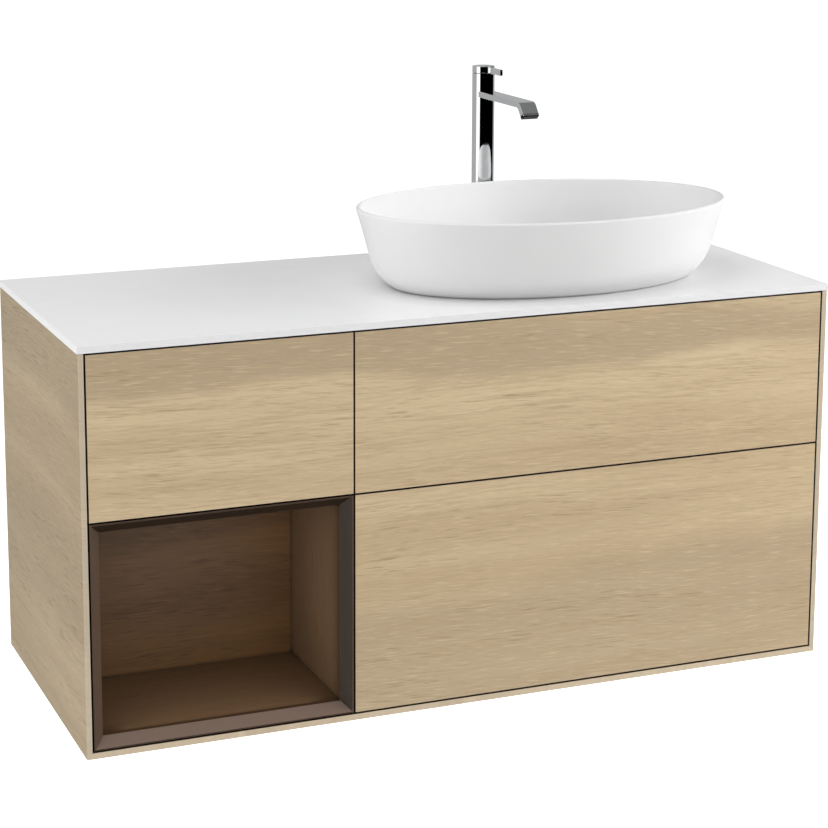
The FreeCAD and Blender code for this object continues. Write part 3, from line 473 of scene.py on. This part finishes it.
# ---------------------------------------------------------------- basin
def build_basin(solid):
    """Thin-walled oval bowl: flaring outside, rounded lip, deep inside, shallow drain dish, recessed foot.
    The profile gives, for each ring, how far it lies inside the rim's oval, and its height."""
    foot = PLATE_TOP + 0.001
    rim = BASIN_HI.z
    height = rim - foot
    wall = 0.0075
    lip = wall / 2
    base = 0.015
    flare, belly = 0.055, 0.110
    outside = [(flare * bezier(t, 0, 0.46, 0.36, 1), foot + height * bezier(t, 1, 0.27, 0.22, 0))
               for t in (k / 22 for k in range(1, 23))]
    inside = [(wall + (belly - wall) * bezier(t, 0, 0.25, 0.28, 1),
               foot + base + (height - base) * bezier(t, 1, 0.23, 0.02, 0))
              for t in (k / 22 for k in range(1, 23))]
    edge = [(lip - lip * math.cos(a), rim - lip + lip * math.sin(a))
            for a in (math.pi * k / 12 for k in range(13))]
    hole = 0.0225
    half = (0.305, 0.205)
    floor = inside[-1][1]
    profile = [(half[1] - hole, foot + 0.006), (0.085, foot + 0.006), (0.068, foot + 0.005), (0.066, foot)]
    profile += [(0.058, foot)] + outside[::-1][:-2] + edge + inside[2:]
    dish = floor - 0.0014
    profile += [(0.140, floor - 0.0006), (half[1] - 0.040, floor - 0.0008), (half[1] - 0.0335, dish),
                (half[1] - hole - 0.001, dish), (half[1] - hole, floor - 0.0024)]
    sides = 160
    rings = []
    for inset, level in profile:
        # Towards the drain the ovals become round.
        across = half[0] - inset
        deep = max(half[1] - inset, 0.0)
        round_part = min(1.0, max(0.0, (inset - belly) / 0.06))
        across += (deep - across) * round_part
        rings.append([solid.verts.new((BASIN_X + across * math.cos(a), BASIN_Y + deep * math.sin(a), level))
                      for a in (2 * math.pi * k / sides for k in range(sides))])
    rings.append(rings[0])
    for lower, upper in zip(rings, rings[1:]):
        for k in range(sides):
            m = (k + 1) % sides
            solid.faces.new((lower[k], lower[m], upper[m], upper[k]))


shape("vessel_basin", build_basin, "basin", "cabinet", ["basin"], smooth=50)


# ---------------------------------------------------------------- waste
def build_waste_cover(solid):
    lo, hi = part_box("waste_cover")
    radius = (hi.x - lo.x) / 2
    stem = 0.003
    under = hi.z - 0.004
    shoulder, dome = radius - 0.0012, under + 0.0022
    profile = [(0, lo.z), (stem, lo.z), (stem, under), (radius - 0.001, under), (radius, under + 0.0004),
               (radius, under + 0.0012), (shoulder, dome)]
    profile += [(shoulder * math.cos(a), dome + 0.0018 * math.sin(a))
                for a in (math.pi / 2 * k / 10 for k in range(1, 10))]
    turned(solid, profile + [(0, hi.z)], (BASIN_X, BASIN_Y))


shape("domed_waste_cover", build_waste_cover, "chrome", "cabinet", ["waste_cover"])


# ---------------------------------------------------------------- tap
def build_tap_body(solid):
    lo, hi = BODY_LO.z, BODY_HI.z
    r = TAP_RADIUS
    bore = r - 0.0033
    seat, under_seat = hi - 0.044, hi - 0.052
    profile = [(bore, lo), (r - 0.0006, lo), (r, lo + 0.0006), (r, lo + 0.0016), (r, hi - 0.0018),
               (r, hi - 0.0007), (r - 0.0002, hi - 0.0002), (r - 0.0007, hi), (0.0137, hi), (0.0136, seat),
               (0, seat), (0, under_seat), (bore, under_seat), (bore, lo)]
    turned(solid, profile, (BASIN_X, TAP_Y), 160)


shape("tap_column", build_tap_body, "chrome", "cabinet", ["tap_body"])


def build_spout(solid):
    """The flat spout: a folded bar with small crisp edges and an open mouth."""
    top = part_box("tap_spout")[1].z
    reach = 0.170
    angle = math.radians(50)
    thick, nose, mouth, wall, half = 0.0095, 0.0265, 0.011, 0.0024, 0.014
    mouth_depth = 0.006
    bend = Vector((TAP_Y - reach, top))
    down = Vector((-math.cos(angle), -math.sin(angle)))
    back = Vector((math.sin(angle), -math.cos(angle)))
    tip = bend + down * nose
    inner = tip + back * mouth
    under = top - thick
    crook = inner - down * ((under - inner.y) / math.sin(angle))
    root = TAP_Y - TAP_RADIUS * 0.5

    def fold(corner, before, after, radius, steps=5):
        start = corner + (before - corner).normalized() * radius
        end = corner + (after - corner).normalized() * radius
        along = [k / steps for k in range(steps + 1)]
        return [start.lerp(corner, t).lerp(corner.lerp(end, t), t) for t in along]

    # The outline runs round the bar's side; both folds are slightly rounded.
    top_root, low_root = Vector((root, top)), Vector((root, under))
    over_bend = [top_root] + fold(bend, top_root, tip, 0.007)
    outline = over_bend + [tip, inner] + fold(crook, inner, low_root, 0.004) + [low_root]
    sides = []
    for x in (BASIN_X - half, BASIN_X + half):
        sides.append([solid.verts.new((x, p.x, p.y)) for p in outline])
    solid.faces.new(sides[0])
    solid.faces.new(sides[1][::-1])
    mouth_edge = len(over_bend)
    for k in range(len(outline)):
        m = (k + 1) % len(outline)
        face = solid.faces.new((sides[0][k], sides[0][m], sides[1][m], sides[1][k]))
        if k == mouth_edge:
            opening = face
    bmesh.ops.inset_region(solid, faces=[opening], thickness=wall, depth=0.0)
    moved = bmesh.ops.extrude_face_region(solid, geom=[opening])
    cup = [v for v in moved["geom"] if isinstance(v, bmesh.types.BMVert)]
    for v in cup:
        v.co += Vector((0, -down.x, -down.y)) * mouth_depth
    bmesh.ops.delete(solid, geom=[opening], context="FACES")


spout = shape("flat_spout", build_spout, "chrome", "cabinet", ["tap_spout"], smooth=25)
soften(spout, 0.0009, 3, 35)

# ---------------------------------------------------------------- lever
CAP_LO, CAP_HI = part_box("lever_cap")
BLADE_LO, BLADE_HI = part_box("lever_blade")


def build_cap(solid):
    lo, hi = CAP_LO.z, CAP_HI.z
    r = TAP_RADIUS
    bore = 0.013
    ceiling = hi - 0.0035
    profile = [(bore, lo), (r - 0.0006, lo), (r, lo + 0.0006), (r, lo + 0.0016), (r, hi - 0.0018),
               (r, hi - 0.0008), (r - 0.0002, hi - 0.0003), (r - 0.0008, hi), (r - 0.002, hi), (0, hi)]
    turned(solid, profile, (BASIN_X, TAP_Y), 160)
    turned(solid, [(bore, lo), (bore, ceiling), (0, ceiling)], (BASIN_X, TAP_Y), 160)


def build_blade(solid):
    lo, hi = BLADE_LO, BLADE_HI
    outline = [(lo.y, lo.z + 0.0006), (lo.y, hi.z), (hi.y, hi.z), (hi.y, lo.z)]
    sides = [[solid.verts.new((x, y, z)) for y, z in outline] for x in (lo.x, hi.x)]
    solid.faces.new(sides[0])
    solid.faces.new(sides[1][::-1])
    for k in range(4):
        m = (k + 1) % 4
        solid.faces.new((sides[0][k], sides[0][m], sides[1][m], sides[1][k]))


shape("lever_disc", build_cap, "chrome", "lever", ["lever_cap"])
blade = shape("lever_handle", build_blade, "chrome", "lever", ["lever_blade"])
soften(blade, 0.0006, 3)

# ---------------------------------------------------------------- CAD nodes that stay, with their finishes
FINISHES = {
    "front": ("upper_left_front", "upper_right_front", "lower_right_front"),
    "side": ("side_panel_left", "side_panel_right"),
    "underside": ("bottom_panel",),
    "niche_back": ("niche_back",),
    "niche_sides": ("niche_left", "niche_right"),
    "niche_levels": ("niche_top", "niche_bottom"),
    "plate": ("worktop_plate",),
    "carcass": ("divider_panel", "back_panel", "front_rail", "hanging_rail"),
    "guard": ("upper_right_siphon_guard",),
    "steel": ("hanging_brackets", "wall_plates", "cabinet_runner_rails"),
    "brass": ("waste_nut", "tap_shank", "tap_nut"),
    "white_plastic": ("trap_body", "trap_cup", "trap_union_nuts", "outlet_pipe", "wall_rosette", "tailpipe"),
    "chrome": ("waste_body", "cartridge_nut"),
    "dark_plastic": ("tap_aerator", "tap_cartridge", "cartridge_spindle"),
    "rubber": ("basin_seal", "tap_base_seal"),
}
SOFTNESS = {
    "front": 0.0008, "side": 0.0007, "underside": 0.0007, "niche_sides": 0.0005, "niche_levels": 0.0005,
    "plate": 0.0012, "carcass": 0.0004, "steel": 0.0002, "brass": 0.0006, "white_plastic": 0.0006,
    "guard": 0.001, "chrome": 0.0004, "dark_plastic": 0.0003,
}


def finish_of(node):
    for finish, nodes in FINISHES.items():
        if node in nodes:
            return finish
    if node.endswith("_rails"):
        return "steel"
    if node.split("_")[-1] in ("left", "right", "back", "bottom"):
        return "drawer"
    return None


for node, piece in NODES.items():
    finish = finish_of(node)
    if finish is None or piece.hide_render:
        continue
    for material_slot in piece.material_slots:
        material_slot.material = MATERIALS[finish]
    if not piece.material_slots:
        piece.data.materials.append(MATERIALS[finish])
    if finish in SOFTNESS:
        soften(piece, SOFTNESS[finish], 2, 40)

# ---------------------------------------------------------------- studio
def studio_dome():
    """What polished metal sees of the room: dark in front and to the right, a bright strip at the left, grey
    behind and a darker grey above. It lights nothing."""
    radius = 6.0
    dome = bpy.data.meshes.new("studio_dome")
    solid = bmesh.new()
    bmesh.ops.create_icosphere(solid, subdivisions=4, radius=radius)
    bmesh.ops.reverse_faces(solid, faces=solid.faces)
    solid.to_mesh(dome)
    solid.free()
    room = link_new("studio_dome", dome)
    room.location = (BASIN_X, TAP_Y, 0.75)
    material = bpy.data.materials.new("studio_dome")
    w = blank(material)
    x, y, z = w.apart(w.place())
    # Bearing of a point of the dome: 0 straight in front, positive to the right, in degrees.
    bearing = w.math("MULTIPLY", w.math("ARCTAN2", x, w.math("MULTIPLY", y, -1.0)), 180 / math.pi)
    lift = w.math("DIVIDE", z, radius)

    def strip(start, end, soft=2.0):
        return w.math("MULTIPLY", w.between(bearing, start - soft, start + soft),
                      w.between(bearing, end + soft, end - soft))

    grey, white, ceiling = 0.44, 0.9, 0.20
    tone = w.math("MULTIPLY_ADD", strip(-59, 100), -grey, grey)
    tone = w.math("MULTIPLY_ADD", strip(-97, -59), white, tone)
    over = w.between(lift, 0.62, 0.80)
    below = w.math("SUBTRACT", 1.0, over)
    tone = w.math("ADD", w.math("MULTIPLY", tone, below), w.math("MULTIPLY", over, ceiling))
    glow = w.put("ShaderNodeEmission", {"Color": w.vector(tone, tone, tone), "Strength": 1.0})
    w.put("ShaderNodeOutputMaterial", {"Surface": glow.outputs[0]})
    dome.materials.append(material)
    room.visible_camera = room.visible_diffuse = room.visible_shadow = room.visible_transmission = False


def floor():
    mesh = bpy.data.meshes.new("studio_floor")
    reach, level = 40.0, -0.30
    corners = ((-reach, -reach), (reach, -reach), (reach, reach), (-reach, reach))
    mesh.from_pydata([(x, y, level) for x, y in corners], [], [(0, 1, 2, 3)])
    plane = link_new("studio_floor", mesh)
    material, w, shader = new_material("pale_floor", roughness=0.9)
    shader["Base Color"].default_value = (0.9, 0.9, 0.9, 1)
    seen = w.put("ShaderNodeLightPath").outputs["Is Camera Ray"]
    shader["Emission Color"].default_value = (1, 1, 1, 1)
    w.feed(shader["Emission Strength"], w.math("MULTIPLY", seen, 0.85))
    mesh.materials.append(material)
    plane.visible_glossy = False


def soft_light(name, place, aim, size, power):
    lamp = bpy.data.lights.new(name, "AREA")
    lamp.shape = "SQUARE"
    lamp.size = size
    lamp.energy = power
    light = link_new(name, lamp)
    light.location = place
    light.rotation_mode = "QUATERNION"
    light.rotation_quaternion = (Vector(aim) - Vector(place)).to_track_quat("-Z", "Y")
    light.visible_glossy = False
    light.visible_camera = False


LAMPS = (  # name, place, aim, side of the square in metres, watts
    ("key_light", (2.6, -2.6, 1.9), (0.1, -0.2, 0.45), 1.6, 34.0),
    ("right_light", (3.4, -1.3, 1.5), (0.2, -0.2, 0.5), 1.4, 76.0),
    ("left_light", (-3.2, -0.2, 0.9), (0.0, -0.3, 0.65), 1.4, 21.0),
    ("left_front_light", (-2.8, -1.8, 1.1), (0.0, -0.3, 0.5), 1.4, 23.0),
    ("top_light", (-0.9, -0.4, 3.2), (-0.2, -0.25, 0.6), 2.0, 36.7),
)


def studio():
    floor()
    studio_dome()
    for lamp in LAMPS:
        soft_light(*lamp)
    # A small lamp at the niche's mouth, aimed straight at its back.
    niche_lo, niche_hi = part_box("niche_back")
    mouth_y = -0.478
    mouth = ((niche_lo.x + niche_hi.x) / 2, mouth_y, (niche_lo.z + niche_hi.z) / 2)
    soft_light("niche_fill", mouth, (mouth[0], 0.0, mouth[2]), 0.30, 0.66)
    world = bpy.data.worlds.new("studio_air")
    bpy.context.scene.world = world
    w = blank(world)
    seen = w.put("ShaderNodeLightPath").outputs["Is Camera Ray"]
    sky = w.put("ShaderNodeBackground", {"Color": (1.0, 1.0, 1.0)})
    w.feed(sky.inputs["Strength"], w.math("MULTIPLY_ADD", seen, 0.70, 0.32))
    w.put("ShaderNodeOutputWorld", {"Surface": sky.outputs[0]})


def camera():
    lens = bpy.data.cameras.new("camera")
    lens.sensor_width = 36.0
    lens.lens = 98.527
    lens.shift_x = 0.05
    lens.shift_y = -0.20
    eye = link_new("camera", lens)
    eye.location = (-1.3222, -3.4715, 1.3106)
    azimuth, height = math.radians(-21.305), math.radians(10.644)
    level = math.cos(height)
    back = Vector((math.sin(azimuth) * level, -math.cos(azimuth) * level, math.sin(height)))
    eye.rotation_mode = "QUATERNION"
    eye.rotation_quaternion = (-back).to_track_quat("-Z", "Y")
    lens.clip_end = 200.0
    bpy.context.scene.camera = eye


studio()
camera()
bpy.context.scene.view_settings.view_transform = "Standard"
